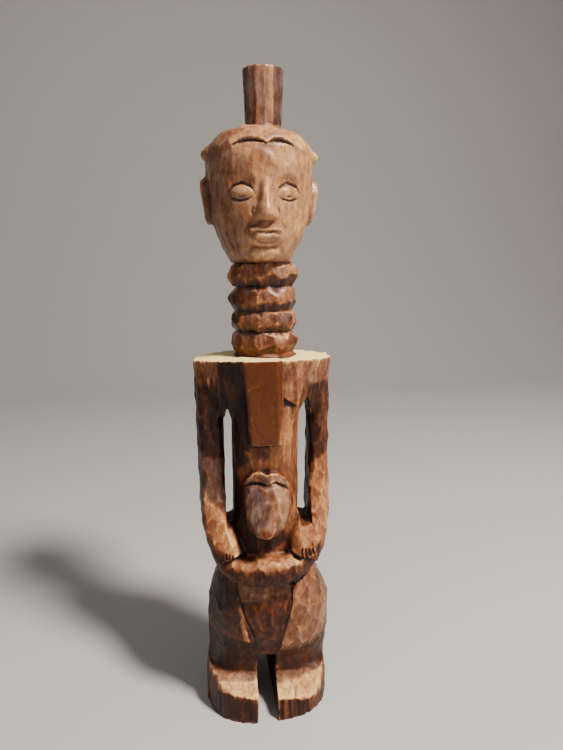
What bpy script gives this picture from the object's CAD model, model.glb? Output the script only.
import math
import bmesh
import bpy
import numpy as np
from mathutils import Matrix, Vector, kdtree, noise
from mathutils.bvhtree import BVHTree


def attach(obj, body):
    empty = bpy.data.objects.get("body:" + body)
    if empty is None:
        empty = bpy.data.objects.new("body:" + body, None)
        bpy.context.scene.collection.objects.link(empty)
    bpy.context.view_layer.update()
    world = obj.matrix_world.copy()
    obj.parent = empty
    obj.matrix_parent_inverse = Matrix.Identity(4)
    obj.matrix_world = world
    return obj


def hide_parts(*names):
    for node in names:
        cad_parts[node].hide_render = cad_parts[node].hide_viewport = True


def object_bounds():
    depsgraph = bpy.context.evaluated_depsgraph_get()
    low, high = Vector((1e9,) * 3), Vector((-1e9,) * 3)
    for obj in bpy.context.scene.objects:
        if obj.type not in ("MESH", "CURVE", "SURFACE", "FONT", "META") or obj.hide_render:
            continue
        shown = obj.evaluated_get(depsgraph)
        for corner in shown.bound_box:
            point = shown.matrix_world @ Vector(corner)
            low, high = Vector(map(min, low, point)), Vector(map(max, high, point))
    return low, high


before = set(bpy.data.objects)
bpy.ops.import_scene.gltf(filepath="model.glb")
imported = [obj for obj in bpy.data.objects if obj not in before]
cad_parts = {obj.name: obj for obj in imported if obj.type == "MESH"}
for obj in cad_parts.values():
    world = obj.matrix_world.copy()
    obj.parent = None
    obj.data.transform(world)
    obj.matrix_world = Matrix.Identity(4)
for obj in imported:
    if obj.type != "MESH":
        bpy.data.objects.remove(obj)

cad_box = [list(corner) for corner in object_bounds()]

# Camera: a wide phone lens close in front of the figure, a little to the left of it and at the
# height of its chin, looking slightly down. Left and right are the viewer's in all that follows.
LENS = 27.02
SENSOR_WIDTH = 36
NEAREST_SEEN = 0.01
CAMERA_PLACE = (-0.05285, -0.43043, 0.37082)
TILT_DOWN = 11.935
HEADING = 8.933


def placed(name, data):
    """A new object in the scene."""
    thing = bpy.data.objects.new(name, data)
    bpy.context.scene.collection.objects.link(thing)
    return thing


camera_lens = bpy.data.cameras.new("camera")
camera_lens.lens = LENS
camera_lens.sensor_width = SENSOR_WIDTH
camera_lens.clip_start = NEAREST_SEEN
camera = placed("camera", camera_lens)
camera.location = CAMERA_PLACE
camera.rotation_euler = (math.radians(90 - TILT_DOWN), 0, math.radians(-HEADING))
bpy.context.scene.camera = camera

# The blank: one billet of dense wood, hewn to the figure's form with an adze. Its mesh is the
# frame's solid with an even fine grain of points. Its straight faces are rounded off and keep
# their bulk. Sizes and places on the wood are in millimetres.
MM = 0.001
WELD = 0.001
FINE_GRAIN = 0.7
HEAD_X = -1.8
FACE_HEIGHTS = (371, 424)
EAR_HEIGHTS = (391, 424)
SLOT_RIMS_ACROSS = (-11, 7.6)
SLOT_RIMS_HEIGHTS = (-5, 56)
LOOK_ROUNDS = 6
EDGE_TURN = (0.006, 0.03)
EDGE_ROUNDS = 5
EDGE_GAIN = 1.5
EDGE_GIVE = 0.07
FACE_GIVE = 0.6
FINE_GIVE = 0.055
GIVE_ROUNDS = 42
BULK_ROUNDS = 24


def points_of(mesh):
    flat = np.empty(len(mesh.vertices) * 3, np.float32)
    mesh.vertices.foreach_get("co", flat)
    return flat.reshape(-1, 3).astype(float) / MM


def normals_of(mesh):
    flat = np.empty(len(mesh.vertices) * 3, np.float32)
    mesh.vertex_normals.foreach_get("vector", flat)
    return flat.reshape(-1, 3).astype(float)


def edges_of(mesh):
    flat = np.empty(len(mesh.edges) * 2, np.int32)
    mesh.edges.foreach_get("vertices", flat)
    return flat.reshape(-1, 2)


def put_points(mesh, places):
    mesh.vertices.foreach_set("co", (places * MM).astype(np.float32).ravel())
    mesh.update()


def finished_mesh(thing):
    """The mesh that an object's modifiers make."""
    evaluated = thing.evaluated_get(bpy.context.evaluated_depsgraph_get())
    return bpy.data.meshes.new_from_object(evaluated)


def spread(values, rounds, share=1.0):
    """Each point takes on the mean of its neighbours, by that share, that many times."""
    count = len(values)
    first, second = edges[:, 0], edges[:, 1]
    neighbours = np.maximum(np.bincount(edges.ravel(), minlength=count), 1)
    flat = values.reshape(count, -1)
    share = np.asarray(share, float).reshape(-1, 1) if np.ndim(share) else share
    for _ in range(rounds):
        mean = np.stack([
            np.bincount(first, column[second], count) + np.bincount(second, column[first], count)
            for column in flat.T
        ], 1) / neighbours[:, None]
        flat = flat + (mean - flat) * share
    return flat.reshape(values.shape)


def unit(vectors):
    return vectors / np.maximum(np.linalg.norm(vectors, axis=1, keepdims=True), 1e-9)


def smooth(low, high, value):
    """A soft step from 0 at low to 1 at high. It falls where low is the greater."""
    t = np.clip((value - low) / (high - low), 0, 1)
    return t * t * (3 - 2 * t)


def band(value, low, high, soft):
    """1 from low to high and 0 beyond, with both steps soft."""
    return smooth(low - soft, low + soft, value) * (1 - smooth(high - soft, high + soft, value))


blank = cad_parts["figure"].data.copy()
whole = bmesh.new()
whole.from_mesh(blank)
bmesh.ops.remove_doubles(whole, verts=whole.verts, dist=WELD * MM)
whole.to_mesh(blank)
whole.free()
rough = placed("rough", blank)
remesh = rough.modifiers.new("remesh", "REMESH")
remesh.mode = "VOXEL"
remesh.voxel_size = FINE_GRAIN * MM
carved = finished_mesh(rough)
bpy.data.objects.remove(rough)

points = points_of(carved)
edges = edges_of(carved)
normals = normals_of(carved)
around = unit(spread(normals, LOOK_ROUNDS))
crisp = smooth(*EDGE_TURN, 1 - np.clip((normals * around).sum(1), 0, 1))
crisp = np.minimum(spread(crisp, EDGE_ROUNDS) * EDGE_GAIN, 1)
x, y, z = points.T
on_face = band(z, *FACE_HEIGHTS, 4) * smooth(-14, -20, y)
on_ears = band(z, *EAR_HEIGHTS, 2) * smooth(30, 33, np.abs(x - HEAD_X))
at_slot = band(x, *SLOT_RIMS_ACROSS, 1) * band(z, *SLOT_RIMS_HEIGHTS, 1.5)
fine_work = np.maximum(np.maximum(on_face, on_ears), at_slot)
hewn = points
give = (EDGE_GIVE + FACE_GIVE * (1 - crisp)) * (1 - fine_work) + FINE_GIVE * fine_work
points = spread(points, GIVE_ROUNDS, give)
put_points(carved, points)
normals = normals_of(carved)
lost = ((hewn - points) * normals).sum(1)
points = points + normals * spread(lost * (1 - fine_work), BULK_ROUNDS)[:, None]

# Soft runs: two forms are shaved into one another until no edge is left. So run the right shoulder
# into the web under it, the belly's sides into the trunk, the hair beyond its two arcs into the
# temples, the right shin into the foot and the thighs into the shins. The nose is eased a little.
BELLY_X = 0.6
WEB_ACROSS, WEB_HEIGHTS = (12, 34), (272, 294)
BELLY_SIDES, BELLY_HEIGHTS = (14, 26), (172, 197)
TEMPLE_HEIGHTS = (425, 451)
NOSE_HALF, NOSE_HEIGHTS = 12, (394, 414)
ANKLE_HEIGHTS = (30, 52)
KNEE_HEIGHTS = (54, 80)
CHAMFER_ACROSS = (-26, -13)
BETWEEN_KNEES = (-13.5, 10)
RUN_ROUNDS = 70
RUN_SHARE = 0.6
TEMPLE_EASE = 0.75
NOSE_EASE = 0.25
KNEE_ROUNDS = 200
KNEE_SHARE = 0.7
over_web = band(x, *WEB_ACROSS, 3) * band(z, *WEB_HEIGHTS, 4) * (y < -12)
beside_belly = band(np.abs(x - BELLY_X), *BELLY_SIDES, 3) * band(z, *BELLY_HEIGHTS, 4) * (y < -14)
at_temples = band(z, *TEMPLE_HEIGHTS, 2) * smooth(21, 26, np.abs(x - HEAD_X)) * (y < 8)
on_nose = band(z, *NOSE_HEIGHTS, 2) * (np.abs(x - HEAD_X) < NOSE_HALF) * smooth(-30, -34, y)
at_ankle = band(z, *ANKLE_HEIGHTS, 3) * smooth(26, 36, x) * (y < -4)
runs = [over_web, beside_belly, TEMPLE_EASE * at_temples, NOSE_EASE * on_nose, at_ankle]
points = spread(points, RUN_ROUNDS, RUN_SHARE * np.maximum.reduce(runs))
at_chamfer = band(x, *CHAMFER_ACROSS, 1.5) * smooth(64, 69, z)
at_knees = band(z, *KNEE_HEIGHTS, 4) * smooth(-6, -12, y) * (1 - at_chamfer)
at_knees = KNEE_SHARE * at_knees * (1 - band(x, *BETWEEN_KNEES, 1))
points = spread(points, KNEE_ROUNDS, at_knees)
put_points(carved, points)

# Neck and topknot: four thick rolls, and a post of hair, pared all the way round with flat strokes
# of a knife. Each roll has a row of strokes that look up, a row along its crest and a row that look
# down. The post flares a little towards its flat top.
CUT_SEED = 11
NECK_GROOVES = (298.0, 315.6, 330.4, 348.6, 367.0)
NECK_FOOT_X = 1.8
NECK_SLANT = 2.2
NECK_CORE = 14
NECK_END = 366.2
NECK_START = (298.2, 300)
GROOVE_RADIUS = 22.0
GROOVE_SLOPE = 2.0
GROOVE_SKEW = 1.3
GROOVE_EASE = 0.3
# Height, waves round the neck, and start of each wave in a groove
GROOVE_WAVES = ((0.7, 2, 1), (0.5, 3, 0))
CREST_RADIUS = 25.1
CREST_SHARE = 0.42
ROLL_STROKES = 12
# Tilt up, and share of the crest's radius, of each row of strokes
ROLL_ROWS = ((0.75, 0.885), (0.16, 0.985), (-0.52, 0.885))
ROLL_HOLLOW = 0.012
ROLL_CONTRAST = 0.09
KNOT_FOOT = 461.0
KNOT_TOP = 500.0
KNOT_AXIS = (1.6, 2.0)
KNOT_RADIUS = 12.7
KNOT_FLARE = 1.5
KNOT_LIMIT = 15.2
KNOT_REACH = 17
KNOT_STROKES = 14
KNOT_TILTS = (-0.05, -0.028)
KNOT_DEPTHS = (12.5, 12.8)
KNOT_HOLLOW = 0.03
KNOT_CONTRAST = 0.12
LEAST_FACING = 0.3


def pared(angle, height, strokes, limit, hollow):
    """Reach from an upright axis of a form pared by strokes, each (angle, tilt up, distance)."""
    reach = np.full(len(angle), 1e9)
    winner = np.zeros(len(angle), int)
    for i, (turn, tilt, far) in enumerate(strokes):
        apart = (angle - turn + math.pi) % (2 * math.pi) - math.pi
        facing = np.maximum(np.cos(apart), LEAST_FACING)
        plane = (far - height * math.sin(tilt)) / (math.cos(tilt) * facing)
        plane = plane + hollow * (apart * far) ** 2
        winner[plane < reach] = i
        reach = np.minimum(reach, plane)
    return np.minimum(reach, limit), winner


def widen(axis_x, axis_y, factor):
    """Each point's distance from an upright axis grows by its factor."""
    points[:, 0] = axis_x + (points[:, 0] - axis_x) * factor
    points[:, 1] = axis_y + (points[:, 1] - axis_y) * factor


dice = np.random.default_rng(CUT_SEED)
stroke_tone = np.zeros(len(points))
x, y, z = points.T
up_neck = np.clip((z - NECK_GROOVES[0]) / (NECK_GROOVES[-1] - NECK_GROOVES[0]), 0, 1)
neck_x = NECK_FOOT_X - NECK_SLANT * up_neck
angle = np.arctan2(y, x - neck_x)
level = z
for rise, turns, start in GROOVE_WAVES:
    level = level + rise * np.sin(angle * turns + start)
for low, high in zip(NECK_GROOVES, NECK_GROOVES[1:]):
    crest = low + CREST_SHARE * (high - low)
    strokes = []
    for tilt, full in ROLL_ROWS:
        for i in range(ROLL_STROKES):
            turn = (i + dice.uniform(-0.3, 0.3)) * 2 * math.pi / ROLL_STROKES
            steep = tilt * dice.uniform(0.85, 1.15)
            strokes.append((turn, steep, CREST_RADIUS * full * dice.uniform(0.98, 1.0)))
    out_of_groove = np.maximum(np.minimum(high - level, GROOVE_SKEW * (level - low)), 0)
    limit = GROOVE_RADIUS + GROOVE_SLOPE * out_of_groove + GROOVE_EASE
    reach, winner = pared(angle, level - crest, strokes, limit, ROLL_HOLLOW)
    radius = np.hypot(x - neck_x, y)
    on_roll = (z > low) & (z <= high) & (radius > NECK_CORE) & (z < NECK_END)
    on_roll = on_roll * smooth(*NECK_START, z)
    stroke_tone += on_roll * dice.normal(0, ROLL_CONTRAST, len(strokes))[winner]
    widen(neck_x, 0, 1 + on_roll * (reach / np.maximum(radius, 1) - 1))

angle = np.arctan2(y - KNOT_AXIS[1], x - KNOT_AXIS[0])
up_knot = np.clip((z - KNOT_FOOT) / (KNOT_TOP - KNOT_FOOT), 0, 1)
flare = KNOT_RADIUS + KNOT_FLARE * up_knot
strokes = [(
    (i + dice.uniform(-0.2, 0.2)) * 2 * math.pi / KNOT_STROKES,
    dice.uniform(*KNOT_TILTS),
    dice.uniform(*KNOT_DEPTHS),
) for i in range(KNOT_STROKES)]
reach, winner = pared(angle, z - KNOT_FOOT, strokes, KNOT_LIMIT, KNOT_HOLLOW)
near_knot = np.hypot(x - KNOT_AXIS[0], y - KNOT_AXIS[1]) < KNOT_REACH
on_knot = smooth(461.3, 463, z) * near_knot
stroke_tone += on_knot * dice.normal(0, KNOT_CONTRAST, len(strokes))[winner]
widen(*KNOT_AXIS, 1 + on_knot * (reach / flare - 1))
put_points(carved, points)

# Strokes: on the rest of the figure a knife and a small adze leave hollow strokes side by side,
# with a ridge between them. They are short and broad on the head and hips, and long on the trunk
# and feet. The dry upright grain of the wood has torn a little between them.
RIDGE_SOFTNESS = 0.06
STROKE_SPACING = 0.64
CELL_WIDTH = 1.4
STROKES_WEIGHED = 5
LEVEL_ROUNDS = 60
FORM_ROUNDS = 22
FAINTEST = 0.001
GRAIN_SHIFT = 7.3


def tree_of(places):
    tree = kdtree.KDTree(len(places))
    for i, place in enumerate(places):
        tree.insert(place, i)
    tree.balance()
    return tree


def nearest(places, tree, count):
    """The numbers of the few things in a tree that are nearest to each place."""
    return np.array([[hit[1] for hit in tree.find_n(place, count)] for place in places.tolist()])


def spots_apart(local, apart, dice):
    """Some of the points, chosen by chance, none nearer to another than that."""
    order = dice.permutation(len(local))
    cells = np.floor(local[order] / (apart * CELL_WIDTH) + dice.random(3)).astype(int)
    picked = dice.permutation(order[np.unique(cells, axis=0, return_index=True)[1]])
    tree = tree_of(local[picked])
    dropped = set()
    for i, index in enumerate(picked):
        if i not in dropped:
            dropped.update(j for _, j, _ in tree.find_range(local[index], apart) if j > i)
    return np.array([index for i, index in enumerate(picked) if i not in dropped])


def strokes_over(mask, wide, tall, hollow, tilt, uneven, contrast, seed):
    """How far each point moves out or in where a knife leaves strokes about that wide and tall."""
    chosen = np.flatnonzero(mask > FAINTEST)
    dice = np.random.default_rng(CUT_SEED + seed)
    local = points[chosen] * np.array([1, 1, wide / tall])
    seeds = local[spots_apart(local, wide * STROKE_SPACING, dice)]
    near = nearest(local, tree_of(seeds), min(STROKES_WEIGHED, len(seeds)))
    lean = dice.normal(0, tilt, (len(seeds), 3))
    sunk = dice.normal(0, uneven, len(seeds))
    shade = dice.normal(0, contrast, len(seeds))
    away = local[:, None, :] - seeds[near]
    reach = hollow * (away ** 2).sum(2) + (away * lean[near]).sum(2) + sunk[near]
    low = reach.min(1, keepdims=True)
    share = np.exp((low - reach) / RIDGE_SOFTNESS)
    lift = np.zeros(len(points))
    lift[chosen] = (low[:, 0] - RIDGE_SOFTNESS * np.log(share.sum(1))) * mask[chosen]
    winner = near[np.arange(len(chosen)), reach.argmin(1)]
    stroke_tone[chosen] += shade[winner] * mask[chosen]
    return lift


def torn_grain(mask, across, along, depth, seed):
    """How far each point moves out or in on long narrow upright ridges."""
    chosen = np.flatnonzero(mask > FAINTEST)
    scaled = points[chosen] / np.array([across, across, along]) + seed * GRAIN_SHIFT
    rise = np.array([noise.noise(Vector(point)) for point in scaled.tolist()])
    lift = np.zeros(len(points))
    lift[chosen] = rise * depth * mask[chosen]
    return lift


def area(outline, soft, deepest=0.0):
    """1 inside an outline drawn in (x, z) as seen from the front, 0 outside it or behind."""
    flat = points[:, [0, 2]]
    far = np.full(len(flat), 1e9)
    inside = np.zeros(len(flat), bool)
    for a, b in zip(outline, outline[1:] + outline[:1]):
        a, run = np.array(a, float), np.array(b, float) - np.array(a, float)
        share = np.clip(((flat - a) @ run) / (run @ run), 0, 1)
        far = np.minimum(far, np.linalg.norm(flat - a - share[:, None] * run, axis=1))
        crosses = (flat[:, 1] < a[1]) != (flat[:, 1] < a[1] + run[1])
        inside ^= crosses & (flat[:, 0] < a[0] + run[0] * (flat[:, 1] - a[1]) / (run[1] or 1))
    return smooth(-soft, soft, np.where(inside, far, -far)) * (points[:, 1] < deepest)


PANEL = [(-21, 297.5), (10.4, 297.5), (10.6, 233), (-12.4, 233)]
WEB = [(10.6, 297), (29, 297), (29.5, 276), (22, 261), (11.5, 267)]
BELLY = [
    (-17.2, 197), (-17.4, 189.5), (-17, 182), (-14.3, 174), (-9, 167), (-6.2, 160), (2, 160),
    (6, 168), (13.4, 176), (16.4, 188), (15.4, 195.6), (9.7, 199.6), (4.6, 202.4), (0, 201),
    (-6.6, 201.6), (-12, 201.4),
]
RIM_FRONT = [
    (-40, 152), (-27, 142), (-3, 142), (24, 142), (42, 150), (40, 132), (20, 118), (-20, 118),
    (-38, 132),
]
HEAD_HEIGHTS = (366.8, 461)
SMOOTH_FACE_HEIGHTS = (372, 431)
EYE_HEIGHTS = (404, 428)
MOUTH_HEIGHTS = (376, 404)
TRUNK_HEIGHTS = (131, 296.5)
HIP_HEIGHTS = (50, 124)
INSTEP_HEIGHTS = (20, 50)
TORN_HEIGHTS = (24, 461)
SLOT_ACROSS = (-9.8, 6.4)
SLOT_HEIGHTS = (-5, 54)
normals = normals_of(carved)
form_normals = unit(spread(normals, FORM_ROUNDS))
x, y, z = points.T
aside = np.abs(x - HEAD_X)
near_knot = np.hypot(x - KNOT_AXIS[0], y - KNOT_AXIS[1]) < KNOT_REACH
on_face = band(z, *SMOOTH_FACE_HEIGHTS, 3) * smooth(-18, -26, y)
on_eyes = band(z, *EYE_HEIGHTS, 4) * smooth(-14, -22, y) * smooth(36, 30, aside)
on_mouth = band(z, *MOUTH_HEIGHTS, 4) * smooth(-27, -33, y) * smooth(23, 17, aside)
on_topknot = smooth(460, 464, z) * near_knot
on_head = band(z, *HEAD_HEIGHTS, 0.8) * (1 - on_topknot) * (1 - np.maximum(on_eyes, on_mouth))
shoulder_top = smooth(0.75, 0.92, normals[:, 2]) * band(z, 290, 300, 1)
panel = area(PANEL, 0.8, -33)
limb = smooth(33, 36, np.abs(x))
belly = area(BELLY, 1.5, -20)
rim_front = area(RIM_FRONT, 4, -8)
on_trunk = band(z, *TRUNK_HEIGHTS, 3) * (1 - panel) * (1 - shoulder_top)
on_trunk = on_trunk * (1 - belly) * (1 - rim_front)
on_hips = band(z, *HIP_HEIGHTS, 3) * (1 - rim_front)
insteps = band(z, *INSTEP_HEIGHTS, 3)
toe_fronts = (1 - smooth(20, 25, z)) * (1 - smooth(0.3, 0.5, np.abs(normals[:, 2])))
in_slot = band(x, *SLOT_ACROSS, 0.6) * band(z, *SLOT_HEIGHTS, 1)
lift = np.zeros(len(points))
# Where, width, height, hollow, tilt, unevenness, contrast of tone, and seed of the strokes
for mask, wide, tall, hollow, tilt, uneven, contrast, seed in [
    (on_head * (1 - 0.3 * on_face), 8.0, 12, 0.026, 0.040, 0.09, 0.055, 2),
    (on_trunk * (1 - limb), 7.5, 22, 0.032, 0.035, 0.13, 0.050, 4),
    (on_trunk * limb, 7.2, 14, 0.046, 0.060, 0.16, 0.065, 5),
    (belly, 5.4, 24, 0.060, 0.060, 0.14, 0.090, 9),
    (rim_front, 4.6, 8, 0.050, 0.060, 0.16, 0.060, 10),
    (on_hips, 8.4, 12, 0.038, 0.075, 0.24, 0.065, 6),
    (insteps, 8.0, 18, 0.020, 0.030, 0.08, 0.035, 7),
    (toe_fronts, 2.6, 40, 0.140, 0.050, 0.26, 0.110, 8),
    (panel, 9.0, 40, 0.004, 0.010, 0.05, 0.035, 11),
]:
    lift += strokes_over(mask * (1 - in_slot), wide, tall, hollow, tilt, uneven, contrast, seed)
lift -= spread(lift, LEVEL_ROUNDS)
upper_arms = on_trunk * limb * smooth(222, 236, z)
coarse = np.maximum(upper_arms, area(WEB, 1.2) * 0.8) * (1 - shoulder_top)
lift += torn_grain(coarse, 2.6, 17, 0.75, 1)
fine = np.maximum(band(z, *TORN_HEIGHTS, 2), toe_fronts) * (1 - on_face) * (1 - shoulder_top)
lift += torn_grain(fine, 7, 11, 0.12, 2)
points = points + form_normals * lift[:, None]
put_points(carved, points)

# Knife lines: the last cuts, each a V made with the point of a knife that dies out at its ends.
# They draw the hairline, eyes, nose and mouth, the edge of the belly, the groin, the palm and
# fingers and the split in the rim. The chest panel has thin scratches and a notch beside it.
CUT_ROUNDS = 5
FULL_DEPTH = 1.5
PATH_STEP = 1.5
PATH_MARGIN = 8
IN_FRONT = -200


def form_of(mesh):
    """The mesh as something that rays can hit."""
    whole = bmesh.new()
    whole.from_mesh(mesh)
    tree = BVHTree.FromBMesh(whole)
    whole.free()
    return tree


def on_front(path):
    """Points on the surface under a path drawn in (x, z) as seen from the front."""
    found = []
    for (x0, z0), (x1, z1) in zip(path, path[1:]):
        steps = max(1, round(math.hypot(x1 - x0, z1 - z0) / PATH_STEP))
        for i in range(steps + 1):
            across, height = x0 + (x1 - x0) * i / steps, z0 + (z1 - z0) * i / steps
            start = Vector((across * MM, IN_FRONT * MM, height * MM))
            hit = fine_form.ray_cast(start, Vector((0, 1, 0)))[0]
            if hit is not None:
                found.append(hit / MM)
    return np.array(found)


def near_path(path):
    """Distance of each point from a path, and how far along the path it lies, from 0 to 1."""
    best = np.full(len(points), 1e9)
    along = np.zeros(len(points))
    low, high = path.min(0) - PATH_MARGIN, path.max(0) + PATH_MARGIN
    inside = np.flatnonzero(((points > low) & (points < high)).all(1))
    local = points[inside]
    near, where = np.full(len(inside), 1e9), np.zeros(len(inside))
    for i in range(len(path) - 1):
        run = path[i + 1] - path[i]
        share = np.clip(((local - path[i]) @ run) / max(run @ run, 1e-9), 0, 1)
        far = np.linalg.norm(local - path[i] - share[:, None] * run, axis=1)
        closer = far < near
        near[closer] = far[closer]
        where[closer] = (i + share[closer]) / (len(path) - 1)
    best[inside], along[inside] = near, where
    return best, along


def knife_line(path, width, depth, fade):
    """A V cut along a path, as wide on each side as width, dying out over fade of its length."""
    away, along = near_path(on_front(path))
    ends = np.clip(np.minimum(along, 1 - along) / fade, 0, 1) ** 0.6
    share = np.clip(1 - away / (width * np.maximum(ends, 0.2)), 0, 1) * ends
    np.maximum(cut_share, share * min(depth / FULL_DEPTH, 1), out=cut_share)
    return -cut_normals * (depth * share)[:, None]


def both_sides(*path):
    """A path on the left and the right of the face, drawn in (out from its middle, height)."""
    return [[(HEAD_X + side * out, height) for out, height in path] for side in (-1, 1)]


HAIRLINE = [
    [(-25, 442.6), (-20, 445.4), (-14, 447), (-8, 446.8), (-4, 445.8), (-0.6, 443.8)],
    [(-0.4, 444), (4.4, 446.8), (8, 447.6), (13, 446.4), (18.5, 443.4)],
]
UPPER_LIDS = both_sides((6.5, 411), (10, 416.8), (15.5, 419.6), (21, 418), (26.6, 411.6))
LOWER_LIDS = both_sides((7.4, 410.8), (12, 408.4), (17, 407.6), (22, 408.8), (26, 411.2))
NOSTRILS = both_sides((8.6, 397.4), (9.8, 400.4), (8, 404))
CHEEK_FOLDS = both_sides((10.4, 394), (14, 389.4), (15.6, 384.6))
MOUTH = [
    (-11.6, 386.6), (-7, 387.4), (-3.6, 386.6), (-1.8, 386), (0, 386.6), (3.4, 387.4), (8, 386.6),
]
UNDER_LIP = [(-8.4, 380.6), (-4.6, 379.6), (-1.8, 379.4), (1, 379.6), (4.8, 380.6)]
GROIN = [
    [(-26.4, 117), (-22.7, 101), (-17.7, 86), (-13.3, 74), (-10.1, 63.6)],
    [(18.4, 114), (17.3, 101), (14.3, 90.8), (11, 76.6), (7.5, 61.2), (6.2, 54)],
]
BELLY_EDGE = [
    [(-18.4, 197.4), (-15, 200.8), (-11.7, 202.2), (-6.6, 202.4), (-3.4, 201.6), (-1.2, 200.6)],
    [(-1.6, 200.8), (1.4, 202.7), (4.9, 203.2), (9.7, 200.4), (13, 198), (16.4, 195.2)],
]
UNDER_PANEL = [(-15, 231.8), (-8, 231.2), (3, 231.6)]
SCRATCHES = [
    [(-16.1, 274.8), (-13.4, 276.8), (-8.6, 278), (-4.5, 280.5)],
    [(-12.7, 253.7), (-9.8, 246), (-5.5, 238)],
    [(-12.6, 227.6), (-7, 227), (-1.6, 227.9)],
    [(2.4, 262), (3.6, 251), (3.2, 244)],
]
PALM = [(15.4, 146.4), (17.4, 143.4), (20.2, 140.6), (26.5, 137.8)]
RIM_SPLIT = [(12, 115.4), (20, 115.8), (26.5, 118), (33, 122.6), (37, 128)]
RIGHT_FINGERS = [
    [(25.6 + 2.9 * i, 148 - 0.6 * i), (25.8 + 3.1 * i, 137.4 + 1.1 * i)] for i in range(4)
]
LEFT_FINGERS = [
    [(-33.8, 148.6), (-33, 142.4)],
    [(-31.3, 148), (-30.9, 141.8)],
    [(-28.8, 147), (-28.4, 141.6)],
]
NOTCH = [(11.4, 268.4), (20.4, 261.2), (12.2, 260.6)]
NOTCH_DEPTH = 1.3
fine_form = form_of(carved)
cut_normals = unit(spread(normals_of(carved), CUT_ROUNDS))
cut_share = np.zeros(len(points))
# Paths, width on each side, depth, and the share of the length over which each end dies out
for paths, width, depth, fade in [
    (HAIRLINE, 2.2, 3.0, 0.3),
    (UPPER_LIDS, 1.3, 1.3, 0.25),
    (LOWER_LIDS, 1.1, 1.2, 0.25),
    (NOSTRILS, 1.1, 0.9, 0.25),
    (CHEEK_FOLDS, 1.3, 0.6, 0.25),
    ([MOUTH], 1.1, 0.8, 0.15),
    ([UNDER_LIP], 1.4, 0.7, 0.15),
    (GROIN, 1.2, 1.0, 0.15),
    (BELLY_EDGE, 1.5, 2.2, 0.3),
    ([UNDER_PANEL], 1.4, 0.9, 0.15),
    (SCRATCHES, 0.9, 0.35, 0.15),
    ([PALM], 1.8, 2.0, 0.15),
    ([RIM_SPLIT], 1.6, 1.3, 0.15),
    (RIGHT_FINGERS + LEFT_FINGERS, 1.1, 1.3, 0.15),
]:
    for path in paths:
        points = points + knife_line(path, width, depth, fade)
notch = area(NOTCH, 0.7, -24)
points = points - cut_normals * (NOTCH_DEPTH * notch)[:, None]
put_points(carved, points)

# Tones of the finish: dark oil and smoke in the hollows and on the shaded side, red brown wood
# where it is handled, and pale bare wood on the flat top of the shoulders and on the insteps. A
# tone runs from 0, black with oil, to 1, bare.
SKY_SPOTS = 16000
SKY_RAYS = 32
SKY_REACH = 70
SKY_START = 1.2
SKY_LEAN = 0.5
SKY_WEIGHED = 5
SKY_ROUNDS = 6
BEND_ROUNDS = 2
BASE_TONE = 0.34
NECK_RADIUS = 24.6
ROLL_HEIGHTS = (297.6, 366)
KNOT_STRIPE = (4, 8)
NECK_FOOT_HEIGHTS = (297.2, 301)


def openness(spots, ways_out):
    """Share of the rays from each spot that meet no wood."""
    dice = np.random.default_rng(CUT_SEED)
    rays = [Vector(ray) for ray in unit(dice.normal(size=(SKY_RAYS, 3)))]
    seen = np.zeros(len(spots))
    for i, (spot, out) in enumerate(zip(spots, ways_out)):
        out = Vector(out)
        start = Vector(spot) * MM + out * (SKY_START * MM)
        for ray in rays:
            ray = ray if ray.dot(out) > 0 else -ray
            way = (ray + out * SKY_LEAN).normalized()
            if fine_form.ray_cast(start, way, SKY_REACH * MM)[0] is None:
                seen[i] += 1 / SKY_RAYS
    return seen


def paint(mask, value, strength=1.0):
    """The tone goes towards a value where the mask is 1."""
    tone[:] = tone + (value - tone) * mask * strength


def drawn(path, soft_end, full):
    """1 near a path drawn as seen from the front, falling to 0 at soft_end away from it."""
    return smooth(soft_end, full, near_path(on_front(path))[0])


LIP = [
    (-18.7, 197.6), (-15.9, 203.6), (-10.3, 209), (-5.8, 209.8), (-2, 208.4), (2.9, 209.4),
    (7.5, 208), (13.2, 203.4), (16.4, 197), (9.7, 200.4), (4.4, 203.4), (-1.4, 201.4),
    (-6.6, 202.6), (-12, 202.4),
]
LEFT_SLAB = [(-38, 297), (-19, 297), (-15, 262), (-13, 232), (-24, 232), (-34, 262)]
LEFT_SHOULDER = [(-56, 298), (-38, 298), (-36, 262), (-56, 262)]
LEFT_ARM = [(-56, 275), (-31, 275), (-30, 216), (-56, 220)]
RIGHT_ARM = [(31, 282), (54, 282), (54, 221), (44, 214), (37, 207), (33, 207)]
RIGHT_END = [(30, 297), (54, 297), (54, 276), (32, 276)]
LEFT_ELBOW = [(-56, 218), (-30, 216), (-28, 176), (-40, 182), (-56, 190)]
LEFT_FOREARM = [
    (-50, 196), (-44, 184), (-35, 176), (-26, 158), (-22, 146), (-30, 144), (-37, 145), (-47, 160),
]
RIGHT_FOREARM = [
    (33, 206), (50, 217), (54, 170), (44, 148), (24, 146), (20, 160), (26, 168), (34, 172),
]
TRUNK_LEFT = [
    (-29, 240), (-14, 232), (-14, 208), (-19, 196), (-19, 176), (-24, 160), (-29, 160),
]
TRUNK_RIGHT = [(12, 262), (28, 256), (28, 168), (20, 172), (20, 190), (10, 214), (6, 230)]
CHIPS = [(-18, 227), (-12, 226), (-11.6, 221), (-17, 220.6)]
OVER_BELLY = [
    (-20, 199), (-12, 212), (-2, 213), (8, 214), (18, 196), (22, 206), (8, 222), (-14, 220),
    (-24, 206),
]
TIP = [(-8.2, 167.9), (-6.4, 171.2), (-2.4, 171.6), (0, 167.9), (-1.5, 163.9), (-6.2, 164)]
RECESS = [
    (-22, 184), (-17, 176), (-8, 166), (4, 164), (12, 168), (15, 150), (0, 142), (-16, 142),
    (-22, 150),
]
PUBIS = [(-26, 118), (20, 116), (8, 58), (-10, 62)]
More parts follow.
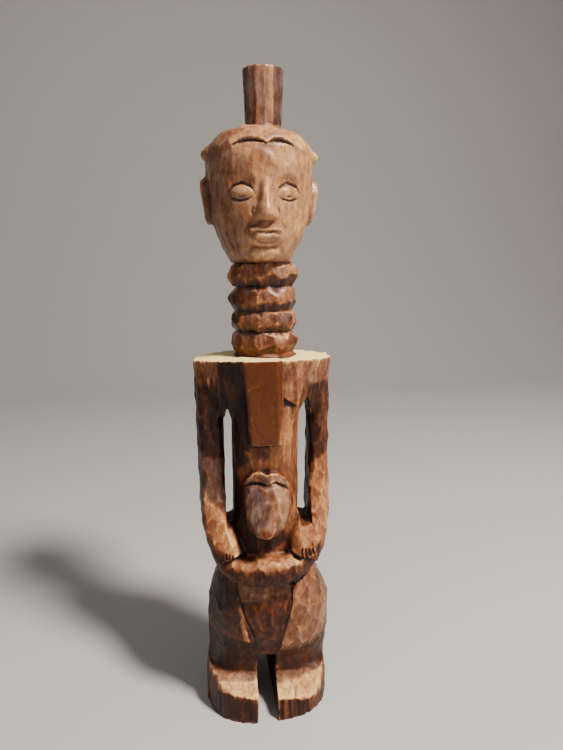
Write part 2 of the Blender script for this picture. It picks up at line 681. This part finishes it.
PUBIS_TOP = [(-26, 118), (20, 116), (18, 110), (2.3, 107), (-9.9, 103.9), (-22.5, 102.3)]
CHAMFER = [(-25, 101), (-22.6, 94), (-16.8, 69), (-20.4, 68.6), (-22.6, 80)]
LEFT_THIGH = [(-54, 124), (-27, 120), (-17, 74), (-42, 77), (-54, 84)]
RIGHT_THIGH = [(54, 124), (18.6, 116), (17, 100), (8, 62), (26, 57), (54, 66)]
SHINS = [
    (-54, 72), (-16, 68), (8, 57), (26, 55), (54, 60), (54, 33), (24, 31.6), (8, 33), (-10, 36),
    (-54, 37),
]
LEFT_STRIP = [
    (-50, 36), (-44.8, 35), (-27, 34.6), (-8, 35), (-8, 29.6), (-27, 29.4), (-36, 30.6),
    (-50, 29.6),
]
RIGHT_STRIP = [(5, 34), (24, 32), (46, 30), (32, 28.8), (19.4, 26.8), (5, 25.6)]
LEFT_INSTEP = [
    (-46, 30), (-36, 30.8), (-27, 29.6), (-7, 29.4), (-7, 20.6), (-22, 22.8), (-34, 24),
    (-43, 22.4),
]
RIGHT_INSTEP = [
    (4.6, 25.4), (19.4, 26.4), (34, 29.2), (51, 33), (51, 14), (45, 12), (37, 14), (31, 12.8),
    (27, 13.6), (20, 17), (12, 18.4), (4.6, 18.6),
]
LIP_CREST = [
    [(-18.7, 198.1), (-15.9, 203.9), (-10.3, 209.7), (-5.8, 210.5), (-1.8, 208.7)],
    [(-1.6, 208.7), (2.9, 209.8), (7.5, 208.6), (13.2, 203.9), (16, 198.6)],
]
PANEL_EDGE = [(10.6, 296), (10.7, 265), (10.8, 234)]

fine_form = form_of(carved)
normals = normals_of(carved)
x, y, z = points.T
count = len(points)
run = points[edges[:, 1]] - points[edges[:, 0]]
turned = ((normals[edges[:, 1]] - normals[edges[:, 0]]) * run).sum(1)
turned = turned / np.maximum((run ** 2).sum(1), 1e-6)
bend = np.bincount(edges[:, 0], turned, count) + np.bincount(edges[:, 1], turned, count)
bend = spread(bend / np.maximum(np.bincount(edges.ravel(), minlength=count), 1), BEND_ROUNDS)
sample = np.random.default_rng(CUT_SEED).permutation(count)[:SKY_SPOTS]
seen = openness(points[sample], normals[sample])
near = nearest(points, tree_of(points[sample].tolist()), SKY_WEIGHED)
open_air = spread(seen[near].mean(1), SKY_ROUNDS)

up = normals[:, 2]
front = smooth(4, -10, y)
left = smooth(8, -30, x)
right = 1 - left
tone = BASE_TONE + 0.06 * front - 0.05 * left

# Head, topknot and neck
head_zone = smooth(366, 370, z)
neck = np.hypot(x - NECK_FOOT_X, y) < NECK_RADIUS
rolls = band(z, *ROLL_HEIGHTS, 0.5) * neck
knot_stripe = band(x, *KNOT_STRIPE, 1)
paint(head_zone, 0.58)
paint(head_zone * front * right, 0.70)
paint(head_zone * left * smooth(-12, -34, x), 0.42, 0.7)
paint(on_topknot, 0.28)
paint(on_topknot * knot_stripe, 0.58)
paint(rolls, 0.30)
paint(rolls * smooth(-4, 20, x) * front, 0.42)

# Shoulders, arms and chest
on_panel = area(PANEL, 0.8, -32)
on_web = area(WEB, 1.5)
right_end = area(RIGHT_END, 2)
left_elbow = area(LEFT_ELBOW, 2)
over_belly = area(OVER_BELLY, 1.5)
paint(area(LEFT_SLAB, 1.5), 0.10)
paint(area(LEFT_SHOULDER, 2), 0.28 + 0.20 * smooth(270, 288, z))
paint(area(LEFT_ARM, 3), 0.10)
paint(area(RIGHT_ARM, 2.5), 0.22)
paint(right_end, 0.48)
paint(on_web, 0.48)
paint(on_panel, 0.16)
paint(area(TRUNK_LEFT, 2), 0.14)
paint(area(TRUNK_RIGHT, 2), 0.55)
paint(area(CHIPS, 1.5), 0.52)
paint(over_belly, 0.56)
paint(left_elbow, 0.25)
paint(area(LEFT_FOREARM, 1.5), 0.60 + 0.14 * smooth(-46, -34, x))
paint(area(RIGHT_FOREARM, 2), 0.56 + 0.06 * smooth(200, 180, z))

# Belly and rim
on_belly = area(BELLY, 1.2, -20)
on_lip = area(LIP, 0.7, -20)
on_tip = area(TIP, 0.6, -14)
paint(on_belly, 0.30 + 0.20 * smooth(-6, 8, x))
paint(on_lip, 0.36)
paint(area(RECESS, 2, -10) * (y > -42), 0.10)
paint(on_belly * band(x, 1.5, 7, 2) * band(z, 168, 190, 4), 0.62, 0.6)
paint(area(TIP, 1.8, -14), 0.70)
paint(area(RIM_FRONT, 1.2, -8), 0.20)
paint(area(RIM_FRONT, 1.5, -8) * smooth(0.1, 0.5, up), 0.66)

# Hips, legs and feet
on_pubis = area(PUBIS, 1)
pubis_top = area(PUBIS_TOP, 0.8)
left_strip = area(LEFT_STRIP, 0.8)
right_strip = area(RIGHT_STRIP, 0.8)
bare_insteps = np.maximum(area(LEFT_INSTEP, 0.6), area(RIGHT_INSTEP, 0.6))
paint(area(LEFT_THIGH, 4), 0.14)
paint(area(CHAMFER, 0.7), 0.60)
paint(area(RIGHT_THIGH, 5), 0.46)
paint(on_pubis, 0.26)
paint(pubis_top, 0.42)
paint(area(SHINS, 1.2), 0.12 + 0.07 * right)
paint(left_strip, 0.50)
paint(right_strip, 0.46)
paint(smooth(24, 18, z) * (up < 0.5) * front, 0.17)
paint(bare_insteps * smooth(0.85, 0.7, np.abs(normals[:, 0])), 0.86)
paint(in_slot * (np.abs(normals[:, 0]) > 0.6), 0.03)

# Strokes, hollows and cuts over all of it
tone += stroke_tone
tone -= 0.28 * smooth(0.75, 0.30, open_air)
tone += 0.05 * np.clip(-normals[:, 1] * 0.4 + normals[:, 0] * 0.5, -1, 1)
tone += 0.08 * rolls * smooth(-0.2, 0.5, up) - 0.18 * rolls * smooth(0.1, -0.3, up)
paint(rolls * smooth(0.5, 0.75, up), 0.76, 0.85)
paint(band(z, *NECK_FOOT_HEIGHTS, 0.5) * neck, 0.50, 0.8)
paint(smooth(0.35, 0.8, cut_share), 0.02)
paint(notch, 0.03)
for path in LIP_CREST:
    paint(drawn(path, 1.1, 0.4), 0.76, 0.9)
scratched = np.maximum.reduce([drawn(path, 1.0, 0.4) for path in SCRATCHES])
paint(scratched, 0.56, 0.8)
paint(drawn(PANEL_EDGE, 1.3, 0.5), 0.62, 0.7)

# Kinds of finish beside the tone, each from 0 to 1 at every point: pale bare wood, warm fresh wood
# without oil, gloss from handling, a thin dusty film on the oil, ridges rubbed to tan, and grime
# in the hollows. The tip of the belly has a small amber spot.
SHOULDER_TOP_HEIGHTS = (289, 299)
SPILL_HEIGHTS = (287, 298)
COLLAR_HEIGHTS = (297.2, 303)
WEAR_GAIN = 2.9
WEAR_START = 0.08
GRIME_GAIN = 2.4
GRIME_START = 0.05
CUT_GRIME = 1.1
shoulder_flat = smooth(0.7, 0.9, up) * band(z, *SHOULDER_TOP_HEIGHTS, 0.6) * (1 - neck)
spill_share = 0.42 + 0.1 * smooth(34, 44, np.abs(x)) - 0.2 * on_panel
spill = smooth(*SPILL_HEIGHTS, z) * (z < SHOULDER_TOP_HEIGHTS[1]) * (1 - neck)
spill = spill * (1 - smooth(0.5, 0.8, up)) * spill_share
pale = np.maximum(shoulder_flat, spill)
collar = band(z, *COLLAR_HEIGHTS, 0.8) * neck
warm = np.maximum.reduce([0.85 * on_panel * (1 - scratched), 0.8 * collar, 0.45 * over_belly])
right_hip = area(RIGHT_THIGH, 2)
left_hip = area(LEFT_THIGH, 2)
gloss = np.maximum.reduce([
    on_belly, on_lip, rolls * 0.9, on_topknot * 0.9, head_zone * 0.8, right_hip * 0.6,
    on_pubis * 0.5, limb * 0.3, on_panel * 0.7,
])
gloss = gloss * (1 - np.maximum.reduce([on_tip, collar, 0.8 * on_mouth]))
film = np.maximum.reduce([
    on_belly * (0.45 + 0.4 * smooth(6, -8, x)), rolls * 0.32 * smooth(-0.3, 0.2, up),
    on_topknot * (1 - knot_stripe) * 0.7, head_zone * (0.32 + 0.15 * left), right_hip * 0.2,
    left_hip * 0.1, on_web * 0.15, right_end * 0.4, left_elbow * 0.3, pubis_top * 0.3,
]) * (1 - area(TIP, 2, -14))
film = np.maximum.reduce([film, left_strip * 0.4, right_strip * 0.4, on_lip * 0.4])
wear = np.clip(bend * WEAR_GAIN - WEAR_START, 0, 1)
wear = wear * (1 - 0.75 * on_topknot)
wear = wear * (1 - 0.5 * head_zone * (1 - on_topknot))
for path in GROIN:
    wear = wear * (1 - 0.6 * drawn(path, 5, 2))
grime = np.clip(np.maximum(-bend * GRIME_GAIN - GRIME_START, cut_share * CUT_GRIME), 0, 1)

# The carved figure: one piece of wood from the soles to the topknot, with nothing fitted or
# pegged. Its mesh is thinned, loose crumbs that the thinning leaves are dropped, the soles are
# made flat, and each point takes its finish from the nearest point of the fine mesh.
MOST_TRIANGLES = 190000
SOLE_HEIGHT = 1.2


def shade_smooth(mesh):
    mesh.polygons.foreach_set("use_smooth", [True] * len(mesh.polygons))


figure = placed("figure_carved", carved)
carved.calc_loop_triangles()
thin = figure.modifiers.new("thin", "DECIMATE")
thin.ratio = MOST_TRIANGLES / len(carved.loop_triangles)
mesh = finished_mesh(figure)
figure.modifiers.clear()
figure.data = mesh
bpy.data.meshes.remove(carved)
whole = bmesh.new()
whole.from_mesh(mesh)
highest = max(whole.verts, key=lambda vert: vert.co.z)
joined, waiting = {highest}, [highest]
while waiting:
    for edge in waiting.pop().link_edges:
        for vert in edge.verts:
            if vert not in joined:
                joined.add(vert)
                waiting.append(vert)
crumbs = [vert for vert in whole.verts if vert not in joined]
bmesh.ops.delete(whole, geom=crumbs, context="VERTS")
whole.to_mesh(mesh)
whole.free()
shade_smooth(mesh)
fine_tree = tree_of(points.tolist())
thinned = points_of(mesh)
source = np.array([fine_tree.find(point)[1] for point in thinned.tolist()])
on_sole = (thinned[:, 2] < SOLE_HEIGHT) & (normals_of(mesh)[:, 2] < -0.3)
thinned[on_sole, 2] = 0
low, high = np.array(cad_box) / MM
put_points(mesh, np.clip(thinned, low, high))
for name, values in {
    "tone": tone, "pale": pale, "warm": warm, "gloss": gloss, "wear": wear, "grime": grime,
    "film": film, "amber": on_tip,
}.items():
    stored = mesh.attributes.new(name, "FLOAT", "POINT")
    stored.data.foreach_set("value", np.clip(values[source], 0, 1).astype(np.float32))

# The wood's surface: dense brown wood under oil and smoke. The tone picks one of its shades, which
# fibres, pores, rubbed ridges and soot vary, and warm wood, film, amber and bare wood lie over it.
# A pattern's scale says how fine it is. A small upright stretch draws it out along the grain.
WOOD_SHADES = [
    (0.00, (0.009, 0.0015, 0.0004)),
    (0.22, (0.041, 0.0086, 0.0020)),
    (0.42, (0.120, 0.0320, 0.0088)),
    (0.62, (0.255, 0.0920, 0.0330)),
    (0.80, (0.475, 0.2180, 0.0780)),
    (1.00, (0.810, 0.4800, 0.1700)),
]
BARE_WOOD = (1.0, 0.80, 0.33)
BARE_STREAK = (0.88, 0.60, 0.21)
FRESH_WOOD = (0.14, 0.032, 0.004)
DARK_FILM = (0.19, 0.113, 0.092)
PALE_FILM = (0.46, 0.280, 0.170)
AMBER_HEART = (0.20, 0.034, 0.004)
SHINE = 0.28
DULL, GLOSSY = 0.60, 0.22
RELIEF_STRENGTH = 0.35
RELIEF_DEPTH = 0.4

wood = bpy.data.materials.new("oiled dark wood")
wood.use_nodes = True
nodes, links = wood.node_tree.nodes, wood.node_tree.links
nodes.clear()
coords = nodes.new("ShaderNodeTexCoord")


def fibre(scale, stretch=(1, 1, 1), detail=4, rough=0.55):
    place = nodes.new("ShaderNodeMapping")
    place.inputs["Scale"].default_value = [scale * s for s in stretch]
    links.new(coords.outputs["Object"], place.inputs["Vector"])
    texture = nodes.new("ShaderNodeTexNoise")
    texture.inputs["Scale"].default_value = 1
    texture.inputs["Detail"].default_value = detail
    texture.inputs["Roughness"].default_value = rough
    links.new(place.outputs["Vector"], texture.inputs["Vector"])
    return texture.outputs["Fac"]


def stain(name):
    node = nodes.new("ShaderNodeAttribute")
    node.attribute_name = name
    return node.outputs["Fac"]


def ramp(value, low, high, to_low=0.0, to_high=1.0):
    node = nodes.new("ShaderNodeMapRange")
    node.interpolation_type = "SMOOTHSTEP"
    links.new(value, node.inputs["Value"])
    limits = {"From Min": low, "From Max": high, "To Min": to_low, "To Max": to_high}
    for name, number in limits.items():
        node.inputs[name].default_value = number
    return node.outputs["Result"]


def maths(kind, a, b):
    node = nodes.new("ShaderNodeMath")
    node.operation = kind
    for socket, value in zip(node.inputs, (a, b)):
        if isinstance(value, (int, float)):
            socket.default_value = value
        else:
            links.new(value, socket)
    return node.outputs["Value"]


def layer_over(share, under, over):
    """One colour over another, by a share from 0 to 1."""
    node = nodes.new("ShaderNodeMix")
    node.data_type = "RGBA"
    factor, first, second = node.inputs[0], node.inputs[6], node.inputs[7]
    for socket, value in ((factor, share), (first, under), (second, over)):
        if isinstance(value, tuple):
            socket.default_value = (*value, 1)
        else:
            links.new(value, socket)
    return node.outputs[2]


clouds = ramp(fibre(60, (1, 1, 0.7)), 0.3, 0.7, -0.075, 0.075)
mottle = ramp(fibre(300, (1, 1, 0.5), detail=5, rough=0.7), 0.3, 0.7, -0.10, 0.10)
mottle = maths("MULTIPLY", mottle, maths("SUBTRACT", 1, maths("MULTIPLY", stain("warm"), 0.2)))
streaks = ramp(fibre(560, (1, 1, 0.07), rough=0.6), 0.3, 0.7, -0.045, 0.045)
pores = ramp(fibre(1500, (1, 1, 0.1), detail=2), 0.6, 0.75, 0, -0.16)
rubbed = maths("MULTIPLY", stain("wear"), ramp(fibre(170, detail=3), 0.42, 0.62, 0.04, 0.55))
soot = maths("MULTIPLY", stain("grime"), ramp(fibre(180, detail=2), 0.3, 0.7, -0.45, -0.25))
specks = ramp(fibre(700, detail=1), 0.71, 0.76, 0, 0.14)
shade = stain("tone")
for part in (clouds, mottle, streaks, pores, rubbed, soot, specks):
    shade = maths("ADD", shade, part)
shades = nodes.new("ShaderNodeValToRGB")
shades.color_ramp.interpolation = "LINEAR"
while len(shades.color_ramp.elements) < len(WOOD_SHADES):
    shades.color_ramp.elements.new(0.5)
for element, (place, colour) in zip(shades.color_ramp.elements, WOOD_SHADES):
    element.position = place
    element.color = (*colour, 1)
links.new(shade, shades.inputs["Fac"])

fresh = maths("MULTIPLY", stain("warm"), ramp(maths("ADD", streaks, clouds), -0.1, 0.1, 0.75, 0.35))
colour = layer_over(fresh, shades.outputs["Color"], FRESH_WOOD)
dusty = maths("MULTIPLY", stain("film"), ramp(fibre(130, (1, 1, 0.5)), 0.38, 0.62, 0.25, 1))
colour = layer_over(dusty, colour, layer_over(ramp(shade, 0.25, 0.75), DARK_FILM, PALE_FILM))
colour = layer_over(stain("amber"), colour, AMBER_HEART)
bare = layer_over(ramp(fibre(700, (1, 1, 0.12), detail=3), 0.45, 0.7), BARE_WOOD, BARE_STREAK)
ragged = ramp(maths("ADD", stain("pale"), maths("MULTIPLY", streaks, 2.6)), 0.36, 0.62)
colour = layer_over(ragged, colour, bare)
roughness = ramp(maths("SUBTRACT", stain("gloss"), ragged), -0.4, 1, DULL, GLOSSY)
roughness = maths("ADD", roughness, ramp(fibre(260, detail=3), 0.3, 0.7, -0.05, 0.08))
relief = maths("ADD", maths("MULTIPLY", streaks, 4), maths("MULTIPLY", pores, 1.5))
relief = maths("ADD", relief, ramp(fibre(650, (1, 1, 0.4), detail=3), 0.3, 0.7, 0, 0.6))
bump = nodes.new("ShaderNodeBump")
bump.inputs["Strength"].default_value = RELIEF_STRENGTH
bump.inputs["Distance"].default_value = RELIEF_DEPTH * MM
links.new(relief, bump.inputs["Height"])
shader = nodes.new("ShaderNodeBsdfPrincipled")
shader.inputs["Specular IOR Level"].default_value = SHINE
links.new(colour, shader.inputs["Base Color"])
links.new(roughness, shader.inputs["Roughness"])
links.new(bump.outputs["Normal"], shader.inputs["Normal"])
surface = nodes.new("ShaderNodeOutputMaterial")
links.new(shader.outputs["BSDF"], surface.inputs["Surface"])
mesh.materials.clear()
mesh.materials.append(wood)
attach(figure, "root")
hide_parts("figure")

# Floor and wall: one wide sheet of pale matt paper. It lies flat under the figure and sweeps up in
# a quarter circle behind it, so that no corner shows. Its sizes are in metres.
SHEET_HALF = 3.0
SWEEP_START = 1.1
SWEEP_RADIUS = 0.9
SWEEP_STEPS = 24
WALL_TOP = 3.2
PAPER_COLOUR = (0.52, 0.51, 0.49, 1)
PAPER_ROUGHNESS = 0.8
profile = [(-SHEET_HALF, 0.0), (SWEEP_START, 0.0)]
for i in range(1, SWEEP_STEPS + 1):
    turn = math.pi / 2 * i / SWEEP_STEPS
    depth, height = SWEEP_RADIUS * math.sin(turn), SWEEP_RADIUS * (1 - math.cos(turn))
    profile.append((SWEEP_START + depth, height))
profile.append((SWEEP_START + SWEEP_RADIUS, WALL_TOP))
sweep = bmesh.new()
line = [sweep.verts.new((-SHEET_HALF, depth, height)) for depth, height in profile]
lengths = [sweep.edges.new(pair) for pair in zip(line, line[1:])]
sheet = bmesh.ops.extrude_edge_only(sweep, edges=lengths)["geom"]
far_line = [part for part in sheet if isinstance(part, bmesh.types.BMVert)]
bmesh.ops.translate(sweep, vec=(2 * SHEET_HALF, 0, 0), verts=far_line)
bmesh.ops.recalc_face_normals(sweep, faces=sweep.faces)
if sum(face.normal.z for face in sweep.faces) < 0:
    bmesh.ops.reverse_faces(sweep, faces=sweep.faces)
floor_mesh = bpy.data.meshes.new("floor")
sweep.to_mesh(floor_mesh)
sweep.free()
shade_smooth(floor_mesh)
floor = placed("floor", floor_mesh)
paper = bpy.data.materials.new("pale paper")
paper.use_nodes = True
paper_shader = paper.node_tree.nodes["Principled BSDF"]
paper_shader.inputs["Base Color"].default_value = PAPER_COLOUR
paper_shader.inputs["Roughness"].default_value = PAPER_ROUGHNESS
floor_mesh.materials.append(paper)

# Light: one small soft lamp high in front on the right, a weak wide one low on the same side, a
# faint bluish one like a window on the left, and a dim warm room all round.
ROOM_COLOUR = (1, 0.94, 0.87, 1)
ROOM_STRENGTH = 0.20


def soft_light(name, place, target, size, power, colour):
    lamp = bpy.data.lights.new(name, "AREA")
    lamp.shape = "DISK"
    lamp.size = size
    lamp.energy = power
    lamp.color = colour
    stand = placed(name, lamp)
    stand.location = place
    stand.rotation_euler = (Vector(target) - Vector(place)).to_track_quat("-Z", "Y").to_euler()


soft_light("key", (0.56, -0.56, 1.42), (0, 0, 0.24), 0.24, 45, (1, 0.93, 0.84))
soft_light("fill", (1.15, -0.95, 0.55), (0, 0, 0.22), 0.7, 7, (1, 0.96, 0.92))
soft_light("window", (-1.15, -0.85, 1.0), (0, 0, 0.27), 0.6, 2.6, (0.80, 0.80, 1))
room = bpy.data.worlds.new("room")
room.use_nodes = True
room.node_tree.nodes["Background"].inputs["Color"].default_value = ROOM_COLOUR
room.node_tree.nodes["Background"].inputs["Strength"].default_value = ROOM_STRENGTH
bpy.context.scene.world = room
